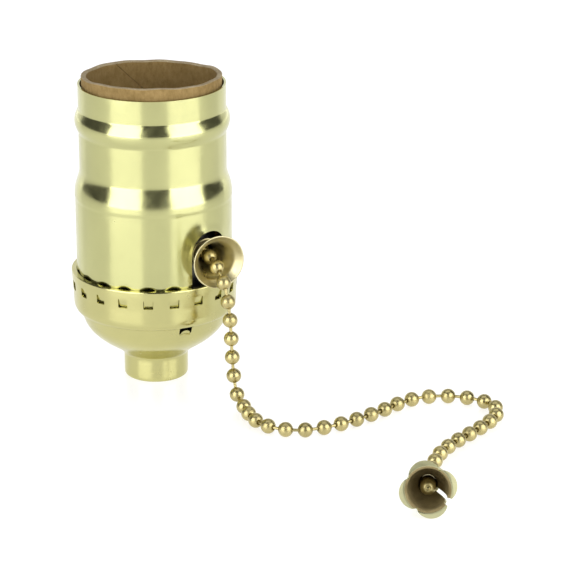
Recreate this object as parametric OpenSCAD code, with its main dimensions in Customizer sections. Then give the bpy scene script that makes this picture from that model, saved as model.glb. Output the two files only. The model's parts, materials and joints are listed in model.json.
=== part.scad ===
// Pull-chain lamp socket: brass shell and cap, a switch body inside, a ball chain with an end bell.
// Origin at the centre of the hub's bottom face, +Z up through the lamp thread, +X along the chain
// as it leaves the bell mouth.

/* [Shell] */
// outer radius of the neck, above the shoulder
neck_r = 15.9; // [14:0.1:18]
// outer radius of the wide lower part
skirt_r = 17; // [15:0.1:20]
// height of the shell's top edge
shell_top = 66.2; // [55:0.1:75]
// height where the shoulder starts
shoulder_z = 41.5; // [38:0.1:45]
// height of the middle of the rolled bead
bead_z = 57.9; // [52:0.1:62]
// how far the bead stands out
bead_out = 0.9; // [0.3:0.1:1.5]
// thickness of the brass sheet
sheet = 0.45; // [0.3:0.05:0.8]

/* [Cap] */
// outer radius at the cap's rim
cap_r = 18.15; // [16:0.05:20]
// height of the cap's rim
cap_top = 24.8; // [20:0.1:28]
// thickness of the cap's sheet
cap_t = 0.5; // [0.4:0.05:0.8]
// outer radius of the hub
hub_r = 7; // [6:0.1:9]
// height of the hub
hub_h = 5; // [3:0.1:7]
// radius of the threaded hole for a 1/8 IP nipple
nipple_r = 4.65; // [4.4:0.05:5.2]
// number of pressed louvres round the cap
louvres = 20; // [8:1:30]
// direction of the first louvre, degrees from +X
louvre_turn = -9; // [-18:0.5:18]

/* [Lamp thread] */
// radius over the thread's crests, the E26 screw shell
crest_r = 12.4; // [12.2:0.05:12.6]
// radius in the thread's roots
root_r = 13.25; // [13:0.05:13.5]
// pitch of the E26 thread
pitch = 3.63; // [3.6:0.01:3.7]
// number of crests
crests = 4; // [3:1:6]

/* [Paper liner] */
// outer radius of the cardboard liner
liner_r = 15.1; // [14:0.1:15.4]
// thickness of the cardboard
liner_t = 1.1; // [0.6:0.1:1.5]
// height of the liner's top edge at the middle of its slanted cut
liner_top = 68.2; // [60:0.1:75]
// slant of the liner's cut edge, degrees
liner_slant = 3.2; // [0:0.1:6]
// direction in which the cut edge is highest, degrees from +X
liner_high = -25; // [-180:5:180]

/* [Bell mouth] */
// sideways offset of the chain's line from the socket's axis
bell_y = 6.2; // [4:0.1:8]
// height of the chain's line
bell_z = 31; // [28:0.1:34]
// distance of the bell's lip from the socket's axis
bell_x = 21; // [18:0.1:24]
// outer radius of the lip
lip_r = 5.65; // [4:0.05:7]

/* [Switch] */
// radius of the molded switch body
body_r = 13.6; // [12:0.1:13.8]
// distance from the pin to the chain's line
arm = 7; // [5:0.1:8]
// swing of the pull lever over one pull, degrees
swing = 45; // [30:1:60]
// teeth on the ratchet wheel
teeth = 8; // [6:1:12]

/* [Chain] */
// diameter of the chain's balls
chain_d = 3.2; // [2.4:0.1:4.8]
// outer radius of the end bell's petals
petal_r = 5.7; // [4:0.1:8]
// length of the end bell
tulip_l = 12; // [8:0.5:20]

/* [Hidden] */
$fn = 64;
lip_in = 5;
pin_z = bell_z - arm;
pin_r = 1;
run = 0.04;
floor_z = 18.6;
split_z = 35;
deck_z = 41.5;
boss_z = 43.2;
thread_z = 46.6;
flat_y = 10.9;
term_z = 15.6;
travel = 2 * arm * tan(swing / 2);
anchor_x = -travel / 2 - 2.75;
wheel_y = 1.9;
wheel_w = 1.8;
pawl_at = [-6.4, 22.3];
strip = 0.5;
slot_w = 9;
slot_top = 36.5;
tulip_at = [95, 17.9, 5.65];
tulip_rot = [0, 74, -28];

// the chain's centre line, from the lever to the ball in the end bell
route = [
    [-1, 6.2, 31], [5, 6.2, 31], [11, 6.2, 31], [16, 6.2, 30.9], [20, 6.2, 29.6],
    [23, 6.3, 27.3], [24.6, 6.6, 23.5], [25, 7, 18], [25.2, 7.2, 12], [25.6, 7.4, 7],
    [27, 7.5, 3], [30.5, 7.4, 1.6], [35.5, 6.6, 1.6], [40.5, 6.6, 1.6], [45, 8.6, 1.6],
    [48, 12.6, 1.6], [48.8, 18.2, 1.6], [47.8, 25, 1.6], [45.6, 32.4, 1.6], [43.2, 38.4, 1.6],
    [42.2, 44, 1.6], [44, 49.8, 1.6], [48.2, 54.2, 1.6], [52.8, 55.8, 1.6], [57.2, 54.2, 1.6],
    [61, 50, 1.6], [64.6, 43.8, 1.6], [67.8, 38, 1.6], [71.4, 33.2, 1.6], [75.8, 29.3, 1.6],
    [80.4, 26, 1.8], [84.8, 23.3, 2.2], [90.4, 20.4, 4]
];

brass = [0.80, 0.74, 0.48];
gold = [0.78, 0.66, 0.36];
phenolic = [0.07, 0.06, 0.06];
card = [0.60, 0.48, 0.32];
nickel = [0.72, 0.72, 0.70];
steel = [0.55, 0.56, 0.58];

// a quadratic curve from a to c, pulled towards b
function bend(a, b, c, n = 10) =
    [for (i = [0:n]) let (t = i / n) (1 - t) ^ 2 * a + 2 * t * (1 - t) * b + t ^ 2 * c];
function rev(p) = [for (i = [len(p) - 1:-1:0]) p[i]];
function tail(p) = [for (i = [1:len(p) - 1]) p[i]];
function unit(v) = v / norm(v);
// an outline moved to its left by t
function inset(p, t) = [
    for (i = [0:len(p) - 1])
        let (d = unit(p[min(i + 1, len(p) - 1)] - p[max(i - 1, 0)]))
        p[i] + t * [-d.y, d.x]
];

// a part that turns round a line along Y, drawn about +Z
module along_y(x, y, z) {
    translate([x, y, z]) rotate([-90, 0, 0]) children();
}

module along_x(x, y, z) {
    translate([x, y, z]) rotate([0, 90, 0]) children();
}

// the shell's outer outline, from its lower edge up to the top of the neck
shell_line = concat(
    [[skirt_r - 0.05, 17.4], [skirt_r - 0.05, 31]],
    [for (i = [0:10]) let (t = i / 10)
        [neck_r + (skirt_r + 0.05 - neck_r) * (1 + cos(180 * t ^ 1.3)) / 2, shoulder_z + 6 * t]],
    [for (i = [0:12]) let (t = i / 12)
        [neck_r + bead_out * sin(180 * t), bead_z - 2.7 + 5.4 * t]],
    [[neck_r, shell_top]]
);

// the pressed rim that stands out round the slot's upper end
module slot_rim() {
    intersection() {
        difference() {
            along_x(10, bell_y, slot_top - slot_w / 2) cylinder(r = slot_w / 2 + 1.6, h = 12);
            translate([9, bell_y - 10, 20]) cube([14, 20, 12 - 0.5]);
        }
        rotate_extrude() translate([skirt_r - 0.2, 20]) square([0.75, 25]);
    }
}

module shell() {
    color(brass) difference() {
        union() {
            rotate_extrude($fn = 96)
                polygon(concat(shell_line, rev([for (p = shell_line) [p.x - sheet, p.y]])));
            slot_rim();
        }
        along_x(10, bell_y, slot_top - slot_w / 2) cylinder(r = slot_w / 2, h = 12);
        translate([10, bell_y - slot_w / 2, 15]) cube([12, slot_w, slot_top - slot_w / 2 - 15]);
    }
}

module liner() {
    color(card) difference() {
        translate([0, 0, 24]) cylinder(r = liner_r, h = liner_top - 22, $fn = 96);
        translate([0, 0, 23]) cylinder(r = liner_r - liner_t, h = liner_top, $fn = 96);
        rotate([0, 0, liner_high]) translate([0, 0, liner_top]) rotate([0, -liner_slant, 0])
            translate([-25, -25, 0]) cube([50, 50, 10]);
        along_x(8, bell_y, slot_top - slot_w / 2) cylinder(r = slot_w / 2 + 0.4, h = 12);
        translate([8, bell_y - slot_w / 2 - 0.4, 20]) cube([12, slot_w + 0.8, 12]);
    }
}

// the cap's outer outline: turned-in lip, hub, bowl, step and collar
cap_line = concat(
    bend([hub_r - 0.9, 0], [hub_r, 0], [hub_r, 0.9], 5),
    bend([hub_r, hub_h], [hub_r, hub_h + 0.8], [9.5, 7.5], 6),
    tail(bend([9.5, 7.5], [14.6, 10.5], [15.6, 13.5], 10)),
    bend([16.4, 15.6], [17.6, 15.8], [17.75, 17.6], 8),
    [[cap_r - 0.3, 20.8], [cap_r - 0.12, 22.8], [cap_r, cap_top]]
);
cap_inside = inset(cap_line, cap_t);

module louvre_slits() {
    for (i = [0:louvres - 1]) rotate([0, 0, louvre_turn + i * 360 / louvres])
        translate([cap_r - 2, -1.05, 21.3]) cube([4, 2.1, 0.7]);
}

module cap() {
    color(brass) difference() {
        rotate_extrude($fn = 96)
            polygon(concat([[lip_in, 0]], cap_line, rev(cap_inside), [[lip_in, cap_t]]));
        louvre_slits();
        translate([13, -1.1, 13.9]) cube([6, 2.9, 1.8]);
    }
}

module hub_bushing() {
    color(steel) difference() {
        union() {
            cylinder(r = lip_in, h = 2);
            translate([0, 0, cap_t]) cylinder(r = hub_r - cap_t, h = hub_h - cap_t);
        }
        translate([0, 0, -1]) cylinder(r = nipple_r, h = 10);
    }
}

// the fibre dish that keeps the wires off the cap
module cap_liner() {
    dish = [for (p = inset(cap_line, cap_t + 0.15)) if (p.x > 9 && p.y < 14) p];
    color([0.25, 0.2, 0.15]) rotate_extrude()
        polygon(concat(dish, rev(inset(dish, 0.5))));
}

// the switch body's round outline with two flats
module body_disc(z0, z1) {
    intersection() {
        translate([0, 0, z0]) cylinder(r = body_r, h = z1 - z0);
        translate([-20, -flat_y, z0 - 1]) cube([40, 2 * flat_y, z1 - z0 + 2]);
    }
}

module lower_body() {
    color(phenolic) difference() {
        body_disc(12.6, split_z);
        translate([-9, -8, floor_z]) cube([18, 17, 30]);
        along_x(8, bell_y, bell_z) cylinder(r = 2.7, h = 8);
        along_y(0, -12, pin_z) cylinder(r = pin_r, h = 24);
        for (s = [-1, 1]) {
            translate([s * 11.3, 0, 10]) cylinder(r = 1.1, h = 30);
            along_y(0, s * 9 - 3, term_z) cylinder(r = 1.6, h = 6);
        }
        translate([-2, 8, floor_z]) cube([4, 4, strip]);
    }
}

module upper_body() {
    color(phenolic) difference() {
        union() {
            body_disc(split_z, deck_z);
            translate([0, 0, deck_z - 1]) cylinder(r = 5.5, h = boss_z - deck_z + 1);
        }
        translate([0, 0, 30]) cylinder(r = 1.25, h = 20);
        for (s = [-1, 1]) {
            translate([s * 11.3, 0, 30]) cylinder(r = 1.1, h = 20);
            translate([s * 11.3, 0, deck_z - 0.6]) cylinder(r = 1.9, h = 2);
            translate([s * 7, s * 7, 37]) cylinder(r = 0.9, h = 10);
        }
        translate([-3, -12, deck_z - strip]) cube([6, 4, 2]);
    }
}

module body_rivets() {
    color(nickel) for (s = [-1, 1]) translate([s * 11.3, 0, 0]) {
        translate([0, 0, 12.6]) cylinder(r = 1.1, h = deck_z - 12.6);
        translate([0, 0, 12]) cylinder(r = 1.9, h = 0.6);
        translate([0, 0, deck_z - 0.6]) cylinder(r = 1.9, h = 0.6);
    }
}

// the inside of the thread: a short land on every crest and root
thread_line = [
    for (i = [0:crests - 1]) let (z = thread_z + i * pitch)
        each [[root_r, z - 1.5], [root_r - 0.25, z - 1.2], [crest_r + 0.25, z - 0.8],
            [crest_r, z - 0.4], [crest_r, z + 0.4], [crest_r + 0.25, z + 0.8],
            [root_r - 0.25, z + 1.2], [root_r, z + 1.5]]
];

module screw_shell() {
    inside = concat([[7.5, deck_z + 0.4], [root_r, deck_z + 0.4]], thread_line);
    outside = [for (p = thread_line) [p.x + 0.4, p.y]];
    color(gold) difference() {
        rotate_extrude($fn = 96)
            polygon(concat([[7.5, deck_z], [root_r + 0.4, deck_z]], outside, rev(inside)));
        for (s = [-1, 1]) translate([s * 7, s * 7, 40]) cylinder(r = 0.9, h = 4);
    }
}

module shell_rivets() {
    color(nickel) for (s = [-1, 1]) translate([s * 7, s * 7, 0]) {
        translate([0, 0, 37]) cylinder(r = 0.9, h = deck_z + 0.4 - 37);
        translate([0, 0, deck_z + 0.4]) cylinder(r = 1.7, h = 0.5);
    }
}

module neutral_strap() {
    color(nickel) difference() {
        union() {
            translate([-3, -flat_y - strip, 12.7]) cube([6, strip, deck_z - 12.7]);
            translate([-3, -flat_y, deck_z - strip]) cube([6, flat_y - 8, strip]);
        }
        along_y(0, -14, term_z) cylinder(r = 1.6, h = 6);
    }
}

module line_contact() {
    color(gold) difference() {
        union() {
            translate([-3.2, flat_y, 12.7]) cube([6.4, strip, floor_z + strip - 12.7]);
            translate([-2, -5, floor_z]) cube([4, flat_y + 5, strip]);
            translate([-2, -5, floor_z]) cube([5.8, 4, strip]);
            translate([3.4, -5, floor_z]) cube([0.4, 4, 7.6]);
        }
        along_y(0, 8, term_z) cylinder(r = 1.6, h = 6);
    }
}

// a slotted terminal screw with its head on the side s of the body
module terminal_screw(s) {
    rotate([0, 0, s > 0 ? 0 : 180]) difference() {
        union() {
            along_y(0, 6, term_z) cylinder(r = 1.6, h = flat_y + strip - 6);
            along_y(0, flat_y + strip, term_z) cylinder(r = 3.1, h = 1.9);
        }
        translate([-0.45, flat_y + strip + 1.1, 10]) cube([0.9, 2, 12]);
    }
}

module brass_screw() {
    color(gold) terminal_screw(1);
}

module silver_screw() {
    color(nickel) terminal_screw(-1);
}

module load_contact() {
    color(gold) difference() {
        union() {
            translate([-3.8, -5, 22]) cube([0.4, 4, split_z - 22]);
            translate([-3.8, -5, split_z - 0.4]) cube([5.8, 7, 0.4]);
        }
        translate([0, 0, 30]) cylinder(r = 1.25, h = 10);
    }
}

module contact_rivet() {
    color(nickel) {
        translate([0, 0, split_z - 1]) cylinder(r = 2, h = 0.6);
        translate([0, 0, split_z - 0.4]) cylinder(r = 1.25, h = boss_z + 0.8 - split_z);
        translate([0, 0, boss_z + 0.4]) cylinder(r = 2, h = 0.6);
    }
}

// the springy tongue that the lamp's tip presses down
module center_contact() {
    tongue = concat(
        [[-3.5, 0]],
        bend([3.2, 0], [4.6, 0.1], [4.3, 1.2], 6),
        tail(bend([4.3, 1.2], [2, 3.6], [-2.6, 2.6], 10))
    );
    color(gold) difference() {
        translate([0, 2.5, boss_z]) rotate([90, 0, 0]) linear_extrude(5)
            polygon(concat(tongue, rev(inset(tongue, 0.4))));
        translate([0, 0, boss_z - 1]) cylinder(r = 1.25, h = 1.8);
    }
}

module pivot_pin() {
    color(steel) along_y(0, -flat_y, pin_z) cylinder(r = pin_r, h = 2 * flat_y);
}

// four turns round the pin and a leg down to the floor
module return_spring() {
    color(steel) {
        for (i = [0:3]) along_y(0, 6.9 + i * 0.5, pin_z)
            rotate_extrude() translate([1.65, 0]) circle(r = 0.22, $fn = 16);
        translate([1.65, 8.4, floor_z + strip]) cylinder(r = 0.22, h = 5, $fn = 16);
    }
}

module detent_spring() {
    leaf = [[4.5, floor_z], [4.5, 22.4], [3.9, 23.6], [3.9, 24.4], [4.5, 25.6], [4.5, 29]];
    color(steel) translate([0, wheel_y + wheel_w - 0.2, 0]) rotate([90, 0, 0])
        linear_extrude(wheel_w - 0.4) polygon(concat(leaf, rev([for (p = leaf) p - [0.3, 0]])));
}

module bell_mouth() {
    outside = bend([2.7, 14.6], [2.9, 19], [lip_r - 0.3, bell_x - 0.9], 10);
    inside = bend([2.2, 14.8], [2.5, 19.2], [lip_r - 0.6, bell_x - 0.5], 10);
    color(gold) along_x(0, bell_y, bell_z) rotate_extrude() {
        polygon(concat([[2.2, 9.6], [2.7, 9.6]], outside, rev(inside)));
        translate([lip_r - 0.45, bell_x - 0.45]) circle(r = 0.45, $fn = 24);
    }
}

module bell_collar() {
    color(gold) along_x(13.8, bell_y, bell_z) difference() {
        cylinder(r = 3.4, h = 0.8);
        translate([0, 0, -1]) cylinder(r = 2.7, h = 4);
    }
}

// the lever in its rest pose, leaning back by half of its swing
module pull_lever() {
    color(steel) difference() {
        union() {
            along_y(0, 4, pin_z) cylinder(r = 2.2, h = 2.4);
            translate([0, 4, pin_z]) rotate([0, -swing / 2, 0]) {
                translate([-0.6, 0, 1.5]) cube([1.2, 2.4, 4]);
                translate([-0.6, 0, 2.7]) cube([1.2, 4.4, 6.1]);
            }
            translate([0, 5.2, 0]) rotate([90, 0, 0]) linear_extrude(1.2) hull() {
                translate([0, pin_z]) circle(r = 2.1, $fn = 32);
                translate(pawl_at) circle(r = 1.4, $fn = 32);
            }
        }
        along_y(0, 3, pin_z) cylinder(r = pin_r + run, h = 8);
        translate([0, bell_y, pin_z]) rotate([0, -swing / 2, 0])
            translate([-2, -0.85, 5.6]) cube([4, 1.7, 5]);
        along_y(pawl_at.x, 3, pawl_at.y) cylinder(r = 0.6, h = 4);
    }
}

module pawl_pin() {
    color(steel) along_y(pawl_at.x, wheel_y - 0.1, pawl_at.y) cylinder(r = 0.6, h = 3.4);
}

tip_turn = 150;
tip_at = [0, pin_z] + 3.2 * [cos(tip_turn), sin(tip_turn)];

module pawl() {
    color(steel) difference() {
        translate([0, wheel_y + wheel_w - 0.1, 0]) rotate([90, 0, 0]) linear_extrude(wheel_w - 0.2)
            union() {
                hull() {
                    translate(pawl_at) circle(r = 1.2, $fn = 32);
                    translate(tip_at + [-1, 0.5]) circle(r = 0.5, $fn = 24);
                }
                hull() {
                    translate(tip_at) circle(r = 0.3, $fn = 24);
                    translate(tip_at + [-1, 0.5]) circle(r = 0.5, $fn = 24);
                }
            }
        along_y(pawl_at.x, 0, pawl_at.y) cylinder(r = 0.6 + run, h = 6);
    }
}

module ratchet_wheel() {
    saw = [
        for (i = [0:teeth - 1]) let (a = tip_turn - 14 + i * 360 / teeth)
            each [3.2 * [cos(a), sin(a)], 2.4 * [cos(a), sin(a)], 2.4 * [cos(a + 12), sin(a + 12)]]
    ];
    color(steel) difference() {
        translate([0, wheel_y + wheel_w, pin_z]) rotate([90, 0, 0])
            linear_extrude(wheel_w) polygon(saw);
        along_y(0, 0, pin_z) cylinder(r = pin_r + run, h = 6);
    }
}

module contact_rotor() {
    color(phenolic) along_y(0, -6.6, pin_z) difference() {
        cylinder(r = 2.6, h = 6.6 + wheel_y);
        translate([0, 0, -1]) cylinder(r = pin_r + run, h = 12);
    }
}

// a ring with four strips that bridge the fixed contacts
module rotor_contact() {
    color(gold) along_y(0, -6.6, pin_z) {
        rotate_extrude() translate([2.6, 0]) square([0.4, 1.2]);
        for (i = [0:3]) rotate([0, 0, i * 90 + 22.5])
            rotate_extrude(angle = 45) translate([2.6, 1.2]) square([0.4, 4.6]);
    }
}

// the first ball, held behind the lever, and the link through the lever's slot
module chain_anchor() {
    color(gold) translate([anchor_x, bell_y, bell_z]) {
        sphere(r = chain_d / 2);
        rotate([0, 90, 0]) cylinder(r = 0.5, h = -1 - anchor_x, $fn = 24);
    }
}

// the direction of the route at each point, and a sideways direction carried along it
function along(i) = unit(route[min(i + 1, len(route) - 1)] - route[max(i - 1, 0)]);
function carried(v, i) = unit(v - (v * along(i)) * along(i));
sideways = [for (i = 0, v = [0, 1, 0]; i < len(route); i = i + 1, v = carried(v, i)) v];
function ring(i) = [
    for (k = [0:7]) let (up = cross(along(i), sideways[i]))
        route[i] + chain_d / 2 * (cos(k * 45) * sideways[i] + sin(k * 45) * up)
];

// the ball chain as one plain tube of eight sides
module pull_chain() {
    n = len(route);
    points = [for (i = [0:n - 1]) each ring(i)];
    sides = [
        for (i = [0:n - 2], k = [0:7]) let (a = i * 8 + k, b = i * 8 + (k + 1) % 8)
            each [[a, b + 8, b], [a, a + 8, b + 8]]
    ];
    ends = [[for (k = [0:7]) k], [for (k = [7:-1:0]) (n - 1) * 8 + k]];
    color(gold) polyhedron(points, concat(sides, ends));
}

module end_ball() {
    color(gold) translate(tulip_at) rotate(tulip_rot)
        translate([0, 0, -3.8]) sphere(r = 1.65);
}

// a flared cup of four petals, slit on one side for the chain
module end_bell() {
    cup = concat(
        [[2.1, -tulip_l], [2.3, -tulip_l + 0.8]],
        bend([2.3, -8.5], [4.6, -6.5], [4.7, -3], 8),
        tail(bend([4.7, -3], [4.7, -0.8], [petal_r, 0], 5))
    );
    color(gold) translate(tulip_at) rotate(tulip_rot) difference() {
        rotate_extrude() polygon(concat(cup, rev([for (p = cup) p - [0.4, 0]])));
        for (i = [0:3]) rotate([0, 0, i * 90 + 60]) translate([2.5, -0.6, -3.2]) cube([6, 1.2, 6]);
        rotate([0, 0, 60]) translate([0.5, -0.45, -9]) cube([6, 0.9, 10]);
    }
}

cap();
hub_bushing();
cap_liner();
shell();
liner();
lower_body();
upper_body();
body_rivets();
screw_shell();
shell_rivets();
neutral_strap();
line_contact();
brass_screw();
silver_screw();
load_contact();
contact_rivet();
center_contact();
pivot_pin();
return_spring();
detent_spring();
bell_mouth();
bell_collar();
pull_lever();
pawl_pin();
pawl();
ratchet_wheel();
contact_rotor();
rotor_contact();
chain_anchor();
pull_chain();
end_ball();
end_bell();
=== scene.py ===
"""The looks of a pull-chain lamp socket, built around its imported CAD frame.

Outlines are in millimetres, as in part.scad, and every mesh is turned into metres as it is made.
Angles round the socket are in degrees from +X, the side where the chain comes out.
"""

import json
import math

import bpy
from mathutils import Matrix, Vector


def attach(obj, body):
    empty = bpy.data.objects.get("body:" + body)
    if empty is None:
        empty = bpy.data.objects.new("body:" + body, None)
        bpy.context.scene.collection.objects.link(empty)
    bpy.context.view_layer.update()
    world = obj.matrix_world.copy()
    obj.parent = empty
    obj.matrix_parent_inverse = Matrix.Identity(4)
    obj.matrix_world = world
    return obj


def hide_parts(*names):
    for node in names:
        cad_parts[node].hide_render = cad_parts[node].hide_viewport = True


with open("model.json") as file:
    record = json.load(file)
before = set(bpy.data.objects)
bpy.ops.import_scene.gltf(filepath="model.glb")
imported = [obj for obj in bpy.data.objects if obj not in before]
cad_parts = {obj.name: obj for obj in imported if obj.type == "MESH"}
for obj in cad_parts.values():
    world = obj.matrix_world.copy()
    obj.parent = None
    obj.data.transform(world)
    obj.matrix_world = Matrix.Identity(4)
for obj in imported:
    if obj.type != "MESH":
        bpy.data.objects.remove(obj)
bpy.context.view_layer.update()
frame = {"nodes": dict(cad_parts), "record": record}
nodes = frame["nodes"]

MM = 0.001

# the camera, in metres, degrees and millimetres of lens
CAMERA_AT = (0.5373, -0.2184, 0.2229)
CAMERA_TILT = 70.66
CAMERA_TURN = 65
CAMERA_LENS = 175

# the shell, from its lower edge inside the cap up to the neck's top
NECK_R = 15.9
SKIRT_R = 17.0
SKIRT_STEP = 0.05
SHELL_FOOT = 17.4
SHELL_TOP = 66.2
SHOULDER_Z = 41.5
SHOULDER_H = 6
BEAD_Z = 58.3
BEAD_HALF = 2.55
BEAD_OUT = 0.82
SHELL_SHEET = 0.45

# the dimples round the shell
DIMPLE_Z = 23.2
DIMPLE_R = 2.4
DIMPLE_SLOPE = 1.1
DIMPLE_DEPTH = 0.65

# the cap under the shell
CAP_HOLE_R = 5.0
HUB_R = 7.0
HUB_H = 5.0
BOWL_FOOT = (9.5, 7.5)
BOWL_TOP = (15.6, 13.5)
COLLAR_FOOT = (16.4, 15.6)
CAP_R = 18.15
CAP_TOP = 24.8
CAP_SHEET = 0.4

# the louvres and the window in the cap
LOUVRES = 20
LOUVRE_TURN = -9
LOUVRE_FOOT = 20.9
LOUVRE_HEAD = 22.9
LOUVRE_HALF = 1.05
WINDOW_TURN = 1.3
WINDOW_Z = 15.1
WINDOW_HALF_W = 1.43
WINDOW_HALF_H = 0.9

# the slot in the shell and its turned-out lip
SLOT_TURN = 20
SLOT_HALF = 4.5
SLOT_TOP = 36.5
SLOT_LIP_OUT = 0.17
SLOT_LIP_W = 1.9
SLOT_LIP_FOOT = 28
SLOT_LIP_FADE = 6

# the flared guide and its washer where the chain comes out, along +X
BELL_X = 21.0
BELL_Y = 6.2
BELL_Z = 31.0
LIP_R = 5.8
GUIDE_R = 2.7
GUIDE_HOLE_R = 2.2
GUIDE_FOOT = 9.6
GUIDE_SHEET = 0.3
GUIDE_LIFT = 0.15
WASHER_R = 3.4
WASHER_BACK = 13.9
WASHER_FRONT = 14.6

# the cardboard liner and its spiral joint, which rises SEAM_LEAN mm in a degree
LINER_R = 15.1
LINER_T = 1.1
LINER_TOP = 68.2
LINER_SLANT = 2.6
LINER_HIGH = -25
LINER_FOOT = 24
SEAM_TURN = 192
SEAM_TOP = 67.5
SEAM_FOOT = 57
SEAM_LEAN = 0.24

# the screw shell
ROOT_R = 13.25
CREST_R = 12.4
PITCH = 3.63
CONTACT_HOLE_R = 7.5
THREAD_FOOT = 41.5
THREAD_TOP = 59.0
THREAD_SHEET = 0.35

# the ball chain
BALL_D = 3.2
BALL_PITCH = 4.19
FIRST_BALL_X = 15.9
BALLS_INSIDE = 3
LINK_R = 0.38
LINK_TUCK = 1.5

# the bell on the chain's end, from its mouth at height 0 down to its neck
TULIP_AT = (95, 17.9, 5.65)
TULIP_TURN = (0, 74, -28)
TULIP_L = 12
TULIP_SHEET = 0.35
LAST_BALL_DEPTH = 3.8
PETAL_R = 5.7
PETAL_MIDDLE = 2.5
PETAL_FOOT = -1.7
# inside this radius the bell's inner face gets a painted shade, darker brown where its hollow lies in shade
PAINTED_SHADE_R = 4.62
SLIT_TURN = 60
SLIT_HALF = 0.42
SLIT_L = 9
SLIT_FLARE = 0.35
SLIT_FLARE_L = 1.6


def make_camera():
    """The photo's view, with depth of field left off."""
    data = bpy.data.cameras.new("camera")
    data.lens = CAMERA_LENS
    data.sensor_width = 36
    data.clip_start = 0.01
    camera = bpy.data.objects.new("camera", data)
    camera.location = CAMERA_AT
    camera.rotation_euler = [math.radians(a) for a in (CAMERA_TILT, 0, CAMERA_TURN)]
    bpy.context.scene.collection.objects.link(camera)
    bpy.context.scene.camera = camera


make_camera()


# ---------------------------------------------------------------- curves and meshes

def bend(a, b, c, count=10):
    """A quadratic curve from a to c, pulled towards b."""
    steps = [i / count for i in range(count + 1)]
    return [
        tuple((1 - t) ** 2 * p + 2 * t * (1 - t) * q + t * t * r for p, q, r in zip(a, b, c))
        for t in steps
    ]


def smooth(x):
    """0 below 0, 1 above 1, and an S between them."""
    x = min(max(x, 0), 1)
    return x * x * (3 - 2 * x)


def resample(points, step):
    """The same line with points at most a step apart."""
    line = [points[0]]
    for a, b in zip(points, points[1:]):
        parts = max(1, math.ceil(math.dist(a, b) / step))
        for i in range(1, parts + 1):
            line.append(tuple(p + (q - p) * i / parts for p, q in zip(a, b)))
    return line


def new_object(name, verts, faces):
    """A mesh object from points in millimetres."""
    mesh = bpy.data.meshes.new(name)
    mesh.from_pydata([[x * MM for x in v] for v in verts], [], faces)
    mesh.validate()
    mesh.polygons.foreach_set("use_smooth", [True] * len(mesh.polygons))
    obj = bpy.data.objects.new(name, mesh)
    bpy.context.scene.collection.objects.link(obj)
    return obj


def turned(outline, columns, keep=None, shift=None):
    """Points and faces of a sheet turned from outline, a list of (radius, height).

    It is cut away where keep(angle, radius, z) is below 0, and shift(angle, z) moves it outwards.
    """
    verts, faces, index, level = [], [], {}, {}
    last = len(outline) - 1

    def spot(c, r):
        i = min(int(r), last - 1)
        radius, z = (p + (q - p) * (r - i) for p, q in zip(outline[i], outline[i + 1]))
        return 360 * c / columns, radius, z

    def vertex(key, c, r):
        if key not in index:
            angle, radius, z = spot(c, r)
            if shift:
                radius += shift(angle, z)
            turn = math.radians(angle)
            index[key] = len(verts)
            verts.append((radius * math.cos(turn), radius * math.sin(turn), z))
        return index[key]

    def kept(c, r):
        key = (c % columns, r)
        if key not in level:
            level[key] = keep(*spot(c % columns, r)) if keep else 1
        return level[key]

    for r in range(last):
        for c in range(columns):
            corners = [(c, r), (c + 1, r), (c + 1, r + 1), (c, r + 1)]
            values = [kept(*p) for p in corners]
            if max(values) <= 0:
                continue
            # a cell that the cut crosses keeps only its inner part, so the cut edge runs smoothly
            loop = []
            for i, (p, v) in enumerate(zip(corners, values)):
                q, w = corners[(i + 1) % 4], values[(i + 1) % 4]
                own = (p[0] % columns, p[1])
                if v > 0:
                    loop.append(vertex(own, *p))
                if (v > 0) != (w > 0):
                    t = v / (v - w)
                    between = frozenset([own, (q[0] % columns, q[1])])
                    loop.append(vertex(between, p[0] + (q[0] - p[0]) * t, p[1] + (q[1] - p[1]) * t))
            faces.append(loop)
    return verts, faces


def joined(*parts):
    """Several (points, faces) as one."""
    verts, faces = [], []
    for more_verts, more_faces in parts:
        start = len(verts)
        verts += more_verts
        faces += [[start + i for i in f] for f in more_faces]
    return verts, faces


def moved(part, matrix):
    """(points, faces) with the points moved by a matrix in millimetres."""
    verts, faces = part
    return [tuple(matrix @ Vector(v)) for v in verts], faces


def thicken(obj, thickness, side=-1):
    """A sheet gets its thickness, on the inside for side -1 and on the outside for side 1."""
    solid = obj.modifiers.new("thickness", "SOLIDIFY")
    solid.thickness = thickness * MM
    solid.offset = side


def settle(obj, sharp=40):
    """Applies the modifiers and keeps edges sharper than an angle crisp."""
    evaluated = obj.evaluated_get(bpy.context.evaluated_depsgraph_get())
    mesh = bpy.data.meshes.new_from_object(evaluated)
    obj.modifiers.clear()
    obj.data = mesh
    mesh.polygons.foreach_set("use_smooth", [True] * len(mesh.polygons))
    mesh.set_sharp_from_angle(angle=math.radians(sharp))
    return obj


def angle_gap(a, b):
    """The difference of two angles, from -180 to 180."""
    return (a - b + 180) % 360 - 180


# ---------------------------------------------------------------- materials

def new_material(name, **sockets):
    """A material with the named sockets of its shader set."""
    material = bpy.data.materials.new(name)
    material.use_nodes = True
    shader = material.node_tree.nodes["Principled BSDF"]
    for socket, value in sockets.items():
        shader.inputs[socket.replace("_", " ")].default_value = value
    return material


def add(material, kind, inputs=(), **settings):
    """A shader node with its inputs set or linked."""
    tree = material.node_tree
    node = tree.nodes.new("ShaderNode" + kind)
    for key, value in settings.items():
        setattr(node, key, value)
    for key, value in dict(inputs).items():
        if isinstance(value, bpy.types.NodeSocket):
            tree.links.new(value, node.inputs[key])
        else:
            node.inputs[key].default_value = value
    return node


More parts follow.
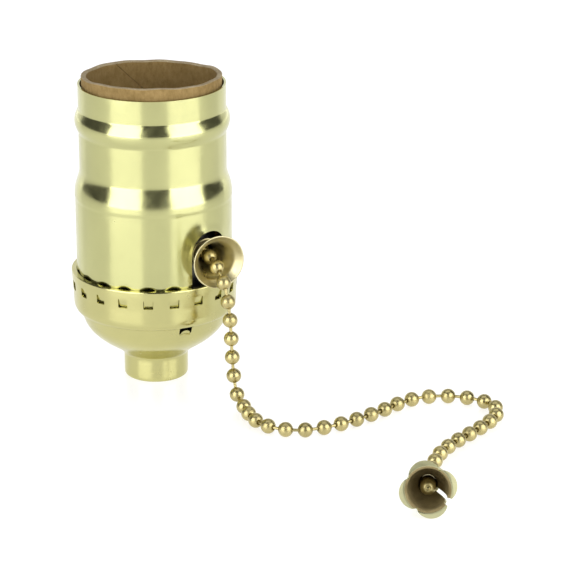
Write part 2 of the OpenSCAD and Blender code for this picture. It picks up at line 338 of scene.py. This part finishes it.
def noise(material, scale, stretch=(1, 1, 1), detail=3, rough=0.5, twist=0):
    """Noise in the object's own coordinates: features per metre are scale times stretch on each axis."""
    coords = add(material, "TexCoord").outputs["Object"]
    mapping = add(material, "Mapping", {"Vector": coords, "Scale": stretch}).outputs[0]
    inputs = {"Vector": mapping, "Scale": scale, "Detail": detail, "Roughness": rough, "Distortion": twist}
    return add(material, "TexNoise", inputs).outputs["Fac"]


def ramp(material, factor, stops):
    """A colour ramp through stops, a list of (place, colour or grey)."""
    node = add(material, "ValToRGB", {"Fac": factor})
    elements = node.color_ramp.elements
    while len(elements) < len(stops):
        elements.new(0.5)
    for element, (place, value) in zip(elements, stops):
        element.position = place
        grey = isinstance(value, (int, float))
        element.color = (value, value, value, 1) if grey else (*value, 1)
    return node.outputs["Color"]


def connect(material, socket, output):
    """Links an output to a socket of the material's shader."""
    shader = material.node_tree.nodes["Principled BSDF"]
    material.node_tree.links.new(output, shader.inputs[socket])


def bumped(material, *layers):
    """Bump from several (height, depth in mm, strength) layers, one on the other."""
    normal = None
    for height, depth, strength in layers:
        inputs = {"Height": height, "Distance": depth * MM, "Strength": strength}
        if normal:
            inputs["Normal"] = normal
        normal = add(material, "Bump", inputs).outputs[0]
    connect(material, "Normal", normal)


def shade(colour, factor):
    """A colour made darker or lighter by a factor."""
    return tuple(c * factor for c in colour)


def brass(name, colour, roughness, turned_lines=0.5, mottle=0.06):
    """Polished brass: a faint change of tone, smudges, fine lines from spinning and small pits."""
    material = new_material(name, Metallic=1.0)
    tone = noise(material, 90, (1, 1, 0.6), detail=4)
    connect(material, "Base Color", ramp(material, tone, [
        (0.3, shade(colour, 1 - mottle)), (0.7, shade(colour, 1 + mottle))]))
    smudge = noise(material, 240, detail=5, rough=0.6, twist=0.6)
    connect(material, "Roughness", ramp(material, smudge, [
        (0.35, roughness * 0.75), (0.75, roughness * 1.5)]))
    waves = noise(material, 130, (1, 1, 0.5), detail=1)
    lines = noise(material, 1, (55, 55, 2600), detail=2)
    pits = noise(material, 2600, detail=2)
    bumped(material, (waves, 0.03, 0.5), (lines, 0.006, turned_lines), (pits, 0.004, 0.25))
    return material


def bright_metal(name, colour, roughness, grain=(300, 300, 300)):
    """Plated or plain steel with a grain and slightly uneven gloss."""
    material = new_material(name, Metallic=1.0)
    tone = noise(material, 1, grain, detail=5, rough=0.65)
    connect(material, "Base Color", ramp(material, tone, [(0.3, shade(colour, 0.86)), (0.7, colour)]))
    gloss = noise(material, 700, detail=4)
    connect(material, "Roughness", ramp(material, gloss, [(0.3, roughness * 0.7), (0.75, roughness * 1.5)]))
    bumped(material, (tone, 0.01, 0.4))
    return material


def moulded(name, colour, roughness):
    """Black moulded phenolic: a fine flow pattern, a soft gloss and a slight orange peel."""
    material = new_material(name, Specular_IOR_Level=0.5, Coat_Weight=0.25, Coat_Roughness=0.2)
    flow = noise(material, 160, (1, 1, 2), detail=5, twist=1.2)
    connect(material, "Base Color", ramp(material, flow, [(0.35, colour), (0.7, shade(colour, 1.9))]))
    peel = noise(material, 900, detail=3)
    connect(material, "Roughness", ramp(material, peel, [(0.3, roughness * 0.8), (0.7, roughness * 1.25)]))
    bumped(material, (peel, 0.02, 0.35))
    return material


def board(name, dark, light, fibre_scale):
    """Brown insulating board: cloudy pulp, fibres that run round and up it, and a soft matt face."""
    material = new_material(name, Roughness=0.92, Specular_IOR_Level=0.25)
    cloud = noise(material, 170, detail=6, rough=0.65, twist=0.4)
    fibres = noise(material, 1, (fibre_scale, fibre_scale, fibre_scale * 0.6), detail=5, rough=0.7)
    both = add(material, "Math", {0: cloud, 1: fibres}, operation="ADD").outputs[0]
    half = add(material, "Math", {0: both, 1: 0.5}, operation="MULTIPLY").outputs[0]
    middle = tuple((a + b) / 2 for a, b in zip(dark, light))
    connect(material, "Base Color", ramp(material, half, [(0.36, dark), (0.5, middle), (0.64, light)]))
    bumped(material, (fibres, 0.06, 0.5), (cloud, 0.15, 0.35))
    return material


def floor_material():
    """White paper that glows a little, so that it stays white, with a gloss."""
    material = new_material("floor_white", Roughness=0.2, Specular_IOR_Level=0.4, Emission_Strength=0.7)
    paper = noise(material, 40, detail=4)
    connect(material, "Base Color", ramp(material, paper, [(0.3, 0.42), (0.7, 0.44)]))
    connect(material, "Emission Color", ramp(material, paper, [(0.3, 0.99), (0.7, 1.0)]))
    return material


sheet_brass = brass("sheet_brass", (0.545, 0.54, 0.255), 0.19)
cap_brass = brass("cap_brass", (0.56, 0.53, 0.235), 0.2)
bell_brass = brass("bell_brass", (0.66, 0.60, 0.36), 0.34)
petal_brass = brass("petal_brass", (0.60, 0.585, 0.34), 0.36, turned_lines=0.1)
# painted shade: a dark brown board look for the bell's inside, standing in for the shade in its hollow
petal_painted_shade = board("petal_painted_shade", (0.2, 0.155, 0.07), (0.36, 0.29, 0.14), 500)
# painted shade: a dark brown board look for the washer's face behind the horn, standing in for the shade
# there
washer_painted_shade = board("washer_painted_shade", (0.085, 0.063, 0.027), (0.17, 0.135, 0.062), 700)
chain_brass = brass("chain_brass", (0.52, 0.445, 0.205), 0.34, turned_lines=0.1, mottle=0.12)
inner_brass = brass("inner_brass", (0.68, 0.55, 0.24), 0.22)
cardboard = board("cardboard", (0.20, 0.128, 0.041), (0.34, 0.232, 0.092), 1100)
board_edge = board("board_edge", (0.27, 0.20, 0.11), (0.50, 0.41, 0.26), 1200)
fibre = board("fibre", (0.035, 0.025, 0.018), (0.07, 0.05, 0.035), 900)
phenolic = moulded("phenolic", (0.006, 0.006, 0.006), 0.32)
nickel = bright_metal("nickel", (0.68, 0.66, 0.62), 0.2)
zinc = bright_metal("zinc", (0.56, 0.57, 0.58), 0.34, (250, 250, 1400))
spring_steel = bright_metal("spring_steel", (0.42, 0.42, 0.44), 0.28, (900, 900, 900))

SLOT_MATERIALS = {
    "brass_sheet": sheet_brass, "bell_brass": bell_brass, "chain_brass": chain_brass,
    "brass_inner": inner_brass, "cardboard": cardboard, "fibre": fibre, "phenolic": phenolic,
    "nickel": nickel, "plated_steel": zinc, "spring_steel": spring_steel,
}
slot_of = {s["node"]: s["material_slot"] for s in frame["record"]["subparts"]}


def dress(obj, slot):
    """Gives an object the material of a slot, and no other."""
    obj.data.materials.clear()
    obj.data.materials.append(SLOT_MATERIALS[slot])


def stand_for(obj, body, *replaced):
    """Gives a piece its material, its body and the CAD nodes that it replaces."""
    slot = slot_of[replaced[0]]
    dress(obj, slot)
    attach(obj, body)
    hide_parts(*replaced)
    return obj


for name, node in nodes.items():
    dress(node, slot_of[name])


# ---------------------------------------------------------------- the ball chain, a free cord

# the same points as part.scad's route, in metres
ROUTE = [
    (-0.001, 0.0062, 0.031), (0.005, 0.0062, 0.031), (0.011, 0.0062, 0.031), (0.016, 0.0062, 0.0309),
    (0.02, 0.0062, 0.0296), (0.023, 0.0063, 0.0273), (0.0246, 0.0066, 0.0235), (0.025, 0.007, 0.018),
    (0.0252, 0.0072, 0.012), (0.0256, 0.0074, 0.007), (0.027, 0.0075, 0.003), (0.0305, 0.0074, 0.0016),
    (0.0355, 0.0066, 0.0016), (0.0405, 0.0066, 0.0016), (0.045, 0.0086, 0.0016), (0.048, 0.0126, 0.0016),
    (0.0488, 0.0182, 0.0016), (0.0478, 0.025, 0.0016), (0.0456, 0.0324, 0.0016), (0.0432, 0.0384, 0.0016),
    (0.0422, 0.044, 0.0016), (0.044, 0.0498, 0.0016), (0.0482, 0.0542, 0.0016), (0.0528, 0.0558, 0.0016),
    (0.0572, 0.0542, 0.0016), (0.061, 0.05, 0.0016), (0.0646, 0.0438, 0.0016), (0.0678, 0.038, 0.0016),
    (0.0714, 0.0332, 0.0016), (0.0758, 0.0293, 0.0016), (0.0804, 0.026, 0.0018), (0.0848, 0.0233, 0.0022),
    (0.0904, 0.0204, 0.004),
]
TULIP = Matrix.Translation(TULIP_AT)
for axis, turn in zip("ZYX", reversed(TULIP_TURN)):
    TULIP = TULIP @ Matrix.Rotation(math.radians(turn), 4, axis)
LAST_BALL = TULIP @ Vector((0, 0, -LAST_BALL_DEPTH))


def smooth_path(points, parts=12):
    """A Catmull-Rom curve through the points, never lower than a ball on the floor."""
    ends = [2 * points[0] - points[1]] + points + [2 * points[-1] - points[-2]]
    path = []
    for i in range(1, len(ends) - 2):
        a, b, c, d = ends[i - 1:i + 3]
        for k in range(parts):
            t = k / parts
            path.append(0.5 * (2 * b + (c - a) * t + (2 * a - 5 * b + 4 * c - d) * t ** 2
                               + (3 * b - a - 3 * c + d) * t ** 3))
    path.append(ends[-2])
    return [Vector((p.x, p.y, max(p.z, BALL_D / 2))) for p in path]


def frames_along(path):
    """A function that gives the place and direction at a distance along the path, and the path's length."""
    far = [0]
    for a, b in zip(path, path[1:]):
        far.append(far[-1] + (b - a).length)

    def at(s):
        i = min(max(sum(1 for f in far if f <= s) - 1, 0), len(path) - 2)
        t = (s - far[i]) / (far[i + 1] - far[i])
        return path[i].lerp(path[i + 1], t), (path[i + 1] - path[i]).normalized()

    return at, far[-1]


def ball(radius, columns=28, rows=18):
    """A hollow ball with a small turned-in hole at each end, along Z."""
    hole, deep = 0.34 * radius, 0.72 * radius
    first = math.degrees(math.asin(hole / radius))
    arc = [math.radians(first + (180 - 2 * first) * i / rows) for i in range(rows + 1)]
    side = [(radius * math.sin(a), -radius * math.cos(a)) for a in arc]
    lower = [(LINK_R * 0.6, -deep), (hole * 0.85, -deep * 1.08), (hole * 0.96, side[0][1] + 0.05)]
    upper = [(r, -z) for r, z in reversed(lower)]
    return turned(lower + side + upper, columns)


def link(length, columns=16):
    """A short rod with a slight waist, along Z."""
    half = length / 2
    outline = [(LINK_R, -half), (LINK_R * 0.9, -half * 0.5), (LINK_R * 0.86, 0),
               (LINK_R * 0.9, half * 0.5), (LINK_R, half)]
    return turned(outline, columns)


def facing(place, direction):
    """A matrix that puts a part at place with its Z along direction."""
    return Matrix.Translation(place) @ direction.to_track_quat("Z", "Y").to_matrix().to_4x4()


def make_chain():
    """Balls at an even pitch along the route up to the last one, with a link after each."""
    points = [Vector(p) / MM for p in ROUTE]
    path = smooth_path(points[:-1] + [LAST_BALL])
    at, length = frames_along(path)
    start = FIRST_BALL_X - points[0].x
    count = round((length - start) / BALL_PITCH)
    pitch = (length - start) / count
    spots = [start + i * pitch for i in range(-BALLS_INSIDE, count)]
    balls = [moved(ball(BALL_D / 2), facing(*at(s))) for s in spots]
    links = [moved(link(pitch - LINK_TUCK), facing(*at(s + pitch / 2))) for s in spots]
    chain = new_object("ball_chain", *joined(*balls, *links))
    return stand_for(chain, "chain", "pull_chain")


# ---------------------------------------------------------------- the bell on the chain's end

def tulip_outline():
    """The neck, the belly, the bend outwards and the petals, with the mouth at height 0."""
    neck = [(1.75, -TULIP_L), (2.2, -TULIP_L + 0.5)]
    belly = bend((2.3, -8.5), (4.4, -6.5), (4.5, -3), 12) + [(4.45, -1.7)]
    mouth = bend((4.4, -0.7), (4.4, 0.07), (4.78, 0), 12)[1:]
    return resample(neck + belly + mouth + [(PETAL_R, -0.17)], 0.18)


def tulip_kept(angle, radius, z):
    """Above 0 inside the round outline of each petal, and outside the slit for the chain."""
    far = 1
    if z > PETAL_FOOT:
        off = math.radians(min(abs(angle_gap(angle, SLIT_TURN + 45 + 90 * i)) for i in range(4)))
        along, across = radius * math.cos(off) - PETAL_MIDDLE, radius * math.sin(off)
        far = PETAL_R - PETAL_MIDDLE + 0.001 - math.hypot(along, across)
    slit = abs(angle_gap(angle, SLIT_TURN))
    if slit < 90:
        half = SLIT_HALF + SLIT_FLARE * smooth(z / SLIT_FLARE_L + 1) ** 2
        far = min(far, max(radius * math.sin(math.radians(slit)) - half, -SLIT_L - z))
    return far


def make_end_bell():
    """The bell of thin sheet, with a painted shade on its inside up to the roots of its petals."""
    bell = new_object("petal_bell", *moved(turned(tulip_outline(), 180, tulip_kept), TULIP))
    thicken(bell, TULIP_SHEET)
    settle(bell)
    stand_for(bell, "chain", "end_bell")
    bell.data.materials[0] = petal_brass
    bell.data.materials.append(petal_painted_shade)
    back = TULIP.inverted()
    # inward faces near the axis get the painted shade material
    for face in bell.data.polygons:
        spot, normal = back @ (face.center / MM), back.to_3x3() @ face.normal
        inward = normal.x * spot.x + normal.y * spot.y < 0
        if inward and math.hypot(spot.x, spot.y) < PAINTED_SHADE_R:
            face.material_index = 1
    return bell


def make_last_ball():
    """The ball that holds the bell on the chain."""
    axis = (TULIP.to_3x3() @ Vector((0, 0, 1))).normalized()
    last = new_object("last_ball", *moved(ball(BALL_D / 2), facing(LAST_BALL, axis)))
    return stand_for(last, "chain", "end_ball")


chain = make_chain()
end_bell = make_end_bell()
last_ball = make_last_ball()


# ---------------------------------------------------------------- the shell

def shell_outline():
    """The skirt, the shoulder, the neck with its bead, and the top edge."""
    steps = [i / 20 for i in range(21)]
    rise = SKIRT_R + SKIRT_STEP - NECK_R
    shoulder = [(NECK_R + rise * (1 + math.cos(math.pi * t ** 1.3)) / 2, SHOULDER_Z + SHOULDER_H * t)
                for t in steps]
    bead = [(NECK_R + BEAD_OUT * math.sin(math.pi * t), BEAD_Z + BEAD_HALF * (2 * t - 1)) for t in steps]
    skirt = [(SKIRT_R - SKIRT_STEP, SHELL_FOOT), (SKIRT_R - SKIRT_STEP, SHOULDER_Z - 0.4)]
    neck = [(NECK_R, shoulder[-1][1] + 0.4), (NECK_R, bead[0][1] - 0.3)]
    top = [(NECK_R, bead[-1][1] + 0.3), (NECK_R, SHELL_TOP)]
    return resample(skirt, 0.4) + shoulder + resample(neck, 0.7) + bead + resample(top, 0.5)


def slot_gap(angle, radius, z):
    """The distance outside the slot's edge, an arch open downwards on the chain's side."""
    if abs(angle_gap(angle, SLOT_TURN)) > 60:
        return 2 * SLOT_HALF
    across = radius * math.sin(math.radians(angle)) - BELL_Y
    return math.hypot(across, max(z - (SLOT_TOP - SLOT_HALF), 0)) - SLOT_HALF


def louvre_off(angle, radius):
    """The distance across from the middle of the nearest louvre."""
    step = 360 / LOUVRES
    return radius * math.radians((angle - LOUVRE_TURN + step / 2) % step - step / 2)


def dimple(angle, z):
    """Round dimples behind the cap's rim, one at each louvre, with their tops showing over it."""
    far = math.hypot(louvre_off(angle, SKIRT_R), z - DIMPLE_Z)
    return -DIMPLE_DEPTH * smooth((DIMPLE_R - far) / DIMPLE_SLOPE)


def slot_lip(angle, z):
    """The edge of the slot is turned out, most at the arch."""
    far = slot_gap(angle, SKIRT_R, z)
    rise = SLOT_LIP_OUT * smooth((SLOT_LIP_W - far) / SLOT_LIP_W)
    return rise * smooth((z - SLOT_LIP_FOOT) / SLOT_LIP_FADE)


def make_shell():
    """One turned sheet with the slot cut out of it."""
    part = turned(shell_outline(), 420, slot_gap, lambda a, z: dimple(a, z) + slot_lip(a, z))
    shell = new_object("brass_shell", *part)
    thicken(shell, SHELL_SHEET)
    settle(shell)
    return stand_for(shell, "housing", "shell")


# ---------------------------------------------------------------- the cap

def cap_outline():
    """Turned-in lip, hub, bowl, crease, collar and the rim's flat flange, with closer rows at the cuts."""
    lip = [(CAP_HOLE_R, 0)] + bend((HUB_R - 0.9, 0), (HUB_R, 0), (HUB_R, 0.9), 6)
    foot = bend((HUB_R, HUB_H), (HUB_R, HUB_H + 0.8), BOWL_FOOT, 8)
    bowl = bend(BOWL_FOOT, (14.6, 10.5), BOWL_TOP, 14)[1:]
    crease = resample([BOWL_TOP, COLLAR_FOOT], 0.15)[1:]
    collar = bend(COLLAR_FOOT, (17.6, 15.8), (17.75, 17.6), 10) + [(CAP_R - 0.3, 20.4)]
    wall = resample([(CAP_R - 0.28, 20.7), (CAP_R - 0.06, 23.4)], 0.16)
    rim = [(CAP_R - 0.04, CAP_TOP - 0.35), (CAP_R - 0.03, CAP_TOP - 0.12), (CAP_R - 0.12, CAP_TOP)]
    flange = [(CAP_R - 0.3, CAP_TOP), (17.5, CAP_TOP), (SKIRT_R + 0.05, CAP_TOP)]
    return resample(lip + foot + bowl, 0.45) + crease + resample(collar, 0.4)[1:] + wall + rim + flange


def cap_kept(angle, radius, z):
    """Below 0 in the louvres' openings and in the window."""
    middle = (LOUVRE_HEAD + LOUVRE_FOOT) / 2
    half = (LOUVRE_HEAD - LOUVRE_FOOT) / 2
    louvre = max(abs(louvre_off(angle, radius)) - LOUVRE_HALF, abs(z - middle) - half)
    across = radius * math.radians(abs(angle_gap(angle, WINDOW_TURN)))
    window = max(across - WINDOW_HALF_W, abs(z - WINDOW_Z) - WINDOW_HALF_H)
    return min(louvre, window)


def tongue(index):
    """A louvre's tongue, joined at its top and pressed in at its foot."""
    rows, columns = 8, 6
    gap, pressed_in = 0.06, 0.6
    turn = LOUVRE_TURN + index * 360 / LOUVRES
    half_turn = math.degrees((LOUVRE_HALF - gap) / CAP_R)
    verts, faces = [], []
    for r in range(rows + 1):
        t = r / rows
        z = LOUVRE_FOOT + 0.08 + (LOUVRE_HEAD + 0.3 - LOUVRE_FOOT) * t
        radius = CAP_R - 0.2 - gap - pressed_in * (1 - t) ** 1.4
        for c in range(columns + 1):
            angle = math.radians(turn + half_turn * (2 * c / columns - 1))
            verts.append((radius * math.cos(angle), radius * math.sin(angle), z))
    for r in range(rows):
        for c in range(columns):
            i = r * (columns + 1) + c
            faces.append([i, i + 1, i + columns + 2, i + columns + 1])
    return verts, faces


def window_tab():
    """The half-round tab left at the window's lower edge, leaning out."""
    x, y, z = 15.95, 0.35, WINDOW_Z - 0.8
    half, height, lean = 1.05, 0.75, 0.45
    count = 14
    verts, faces = [(x, y, z)], []
    for i in range(count + 1):
        turn = math.pi * i / count
        up = height * math.sin(turn)
        verts.append((x + lean * up, y + half * math.cos(turn), z + up))
    for i in range(count):
        faces.append([0, i + 1, i + 2])
    return verts, faces


def make_cap():
    """One turned sheet with the louvres and the window cut out of it and their tongues put in."""
    sheet = turned(cap_outline(), 480, cap_kept)
    tongues = [tongue(i) for i in range(LOUVRES)]
    cap = new_object("brass_cap", *joined(sheet, window_tab(), *tongues))
    thicken(cap, CAP_SHEET)
    settle(cap)
    stand_for(cap, "housing", "cap")
    cap.data.materials[0] = cap_brass
    return cap


# ---------------------------------------------------------------- the cardboard liner

def liner_edge(angle):
    """The height of the liner's cut edge, slanted and a little uneven."""
    a = math.radians(angle)
    uneven = 0.2 + 0.09 * math.sin(3 * a + 1) + 0.06 * math.sin(7 * a) + 0.05 * math.sin(13 * a + 2)
    slant = LINER_R * math.tan(math.radians(LINER_SLANT)) * math.cos(a - math.radians(LINER_HIGH))
    return LINER_TOP + slant - uneven


def liner_outline():
    """The board's section, as (radius, drop below the cut edge), and how many points are on each part."""
    drops = [0.3, 0.6] + [0.75 * i for i in range(2, 16)] + list(range(12, 45))
    inner = LINER_R - LINER_T
    inside = [(inner, drop) for drop in reversed(drops)]
    edge = [(inner + 0.04, 0.12), (inner + 0.2, 0.02), (inner + 0.5, 0.06)]
    edge += [(LINER_R - 0.2, 0), (LINER_R, 0.14)]
    outside = [(LINER_R, drop) for drop in drops]
    return inside + edge + outside, len(inside), len(edge)


def liner_point(turn, step, radius, drop):
    """A point on the liner: turn is how far it is from the joint, which leans as it goes down."""
    angle = SEAM_TURN + turn
    # the height needs the angle of the cut edge above, and the angle needs the height
    for _ in range(2):
        z = max(liner_edge(angle) - drop, LINER_FOOT)
        angle = SEAM_TURN + turn + (max(z, SEAM_FOOT) - SEAM_TOP) / SEAM_LEAN
    radius += step + 0.05 * math.sin(math.radians(5 * angle)) * smooth((4 - drop) / 3)
    a = math.radians(angle)
    return radius * math.cos(a), radius * math.sin(a), z


def make_liner():
    """A tube wound from board: its columns lean along the spiral joint, and the joint is an open step."""
    step_in = -0.12
    turns = [0, 0.3, 0.7] + [2 + i * 1.5 for i in range(239)]
    steps = [0, 0.32, step_in] + [step_in * (1 - smooth(i / 40)) for i in range(239)]
    outline, inside_count, edge_count = liner_outline()
    verts, faces, on_edge = [], [], []
    for turn, step in zip(turns, steps):
        for k, (radius, drop) in enumerate(outline):
            inside_step = step * smooth((drop + 1) / 2) if k < inside_count else 0
            verts.append(liner_point(turn, inside_step, radius, drop))
    size = len(outline)
    for c in range(len(turns)):
        following = (c + 1) % len(turns) * size
        for k in range(size):
            face = [c * size + k, c * size + (k + 1) % size, following + (k + 1) % size, following + k]
            spots = [verts[i] for i in face]
            if all(slot_gap(math.degrees(math.atan2(y, x)), LINER_R, z) > 0.3 for x, y, z in spots):
                faces.append(face)
                on_edge.append(inside_count <= k + 1 < inside_count + edge_count)
    liner = new_object("cardboard_liner", verts, faces)
    stand_for(liner, "housing", "liner")
    liner.data.materials.append(board_edge)
    liner.data.polygons.foreach_set("material_index", [int(e) for e in on_edge])
    liner.data.set_sharp_from_angle(angle=math.radians(50))
    return liner


# ---------------------------------------------------------------- the chain guide

CHAIN_LINE = Matrix.Translation((0, BELL_Y, BELL_Z + GUIDE_LIFT)) @ Matrix.Rotation(math.radians(90), 4, "Y")


def make_bell_mouth():
    """A flared horn of thin sheet with a rounded edge, round the chain's line."""
    edge_r = GUIDE_SHEET / 2
    flare = bend((GUIDE_R, WASHER_FRONT), (3.3, 17.6), (4.5, 19.4), 12)
    flare += bend((4.5, 19.4), (5.35, 20.2), (LIP_R, BELL_X - edge_r), 8)[1:]
    lip = []
    for i in range(1, 8):
        turn = math.radians(25 * i - 20)
        lip.append((LIP_R + edge_r * (math.cos(turn) - 1), BELL_X + edge_r * (math.sin(turn) - 1)))
    inside = [(r - GUIDE_SHEET * 0.85, x + GUIDE_SHEET * 0.5) for r, x in reversed(flare)]
    tube = [(GUIDE_R, GUIDE_FOOT), (GUIDE_R, 12)]
    hole = [(GUIDE_HOLE_R, 12), (GUIDE_HOLE_R, GUIDE_FOOT), (GUIDE_R, GUIDE_FOOT)]
    outline = tube + flare + lip + inside[1:] + hole
    mouth = new_object("chain_guide", *moved(turned(outline, 96), CHAIN_LINE))
    settle(mouth, 60)
    return stand_for(mouth, "housing", "bell_mouth")


def make_bell_collar():
    """A thin washer with rounded edges behind the horn, its face painted dark as shade and brass only at its
    rim.
    """
    hole, rim, back, front = GUIDE_R + 0.02, WASHER_R, WASHER_BACK, WASHER_FRONT
    outline = [(hole, back)] + bend((rim - 0.1, back), (rim, back), (rim, back + 0.1), 4)
    outline += bend((rim, front - 0.15), (rim, front), (rim - 0.18, front), 4)
    outline += [(rim - 0.3, front - 0.04), (hole + 0.18, front - 0.04), (hole, front), (hole, back)]
    collar = new_object("guide_washer", *moved(turned(outline, 72), CHAIN_LINE))
    settle(collar, 60)
    stand_for(collar, "housing", "bell_collar")
    collar.data.materials.append(washer_painted_shade)
    # the face inside the rim gets the painted shade material
    for face in collar.data.polygons:
        spot = face.center / MM
        if math.hypot(spot.y - BELL_Y, spot.z - BELL_Z) < WASHER_R - 0.2:
            face.material_index = 1
    return collar


# ---------------------------------------------------------------- the screw shell

def make_screw_shell():
    """The knuckle thread as one helix that runs out at both ends."""
    ledge_z = THREAD_FOOT + 0.4
    ledge = [(CONTACT_HOLE_R, ledge_z), (ROOT_R - 0.4, ledge_z)]
    outline = ledge + [(ROOT_R, ledge_z + 0.4), (ROOT_R, THREAD_TOP)]
    run_in, run_out, fade, crest_z = THREAD_FOOT + 2.7, THREAD_TOP - 0.2, 1.2, 46.6

    def wave(angle, z):
        ends = smooth((z - run_in) / fade) * smooth((run_out - z) / fade)
        phase = 2 * math.pi * ((z - crest_z) / PITCH - angle / 360)
        return -(ROOT_R - CREST_R) * ends * (1 + math.cos(phase)) / 2

    shell = new_object("screw_shell_thread", *turned(resample(outline, 0.3), 192, None, wave))
    thicken(shell, THREAD_SHEET, side=1)
    settle(shell)
    return stand_for(shell, "housing", "screw_shell")


make_shell()
make_cap()
make_liner()
make_bell_mouth()
make_bell_collar()
make_screw_shell()


# ---------------------------------------------------------------- floor and lights

def make_floor():
    """A plain white floor, wide enough to fill the view."""
    half = 1600
    corners = [(-half, -half, 0), (half, -half, 0), (half, half, 0), (-half, half, 0)]
    floor = new_object("floor", corners, [[0, 1, 2, 3]])
    floor.data.materials.append(floor_material())


def panel(name, turn, distance, height, size, radiance, tilt=0):
    """A soft panel facing the socket: turn goes round it from the camera to the right, tilt downwards."""
    data = bpy.data.lights.new(name, "AREA")
    data.shape = "RECTANGLE"
    data.size, data.size_y = size
    data.energy = radiance * math.pi * size[0] * size[1]
    light = bpy.data.objects.new(name, data)
    light.visible_camera = False
    out = math.radians(CAMERA_TURN - 90 + turn)
    light.location = (distance * math.cos(out), distance * math.sin(out), height)
    light.rotation_euler = (math.radians(90 - tilt), 0, out + math.radians(90))
    bpy.context.scene.collection.objects.link(light)


def make_world():
    """A dim even light from everywhere."""
    world = bpy.data.worlds.new("studio")
    world.use_nodes = True
    grey = 0.085
    world.node_tree.nodes["Background"].inputs["Color"].default_value = (grey, grey, grey, 1)
    bpy.context.scene.world = world


make_floor()
make_world()
panel("left_panel", turn=-39, distance=0.30, height=0.165, size=(0.277, 0.31), radiance=3.2)
panel("right_panel", turn=53, distance=0.30, height=0.165, size=(0.29, 0.31), radiance=3.2)
panel("back_panel", turn=180, distance=0.55, height=0.22, size=(1.5, 0.44), radiance=0.9)
panel("top_panel", turn=180, distance=0.10, height=0.62, size=(0.7, 0.5), radiance=1.0, tilt=90)
bpy.context.scene.view_settings.view_transform = "Standard"
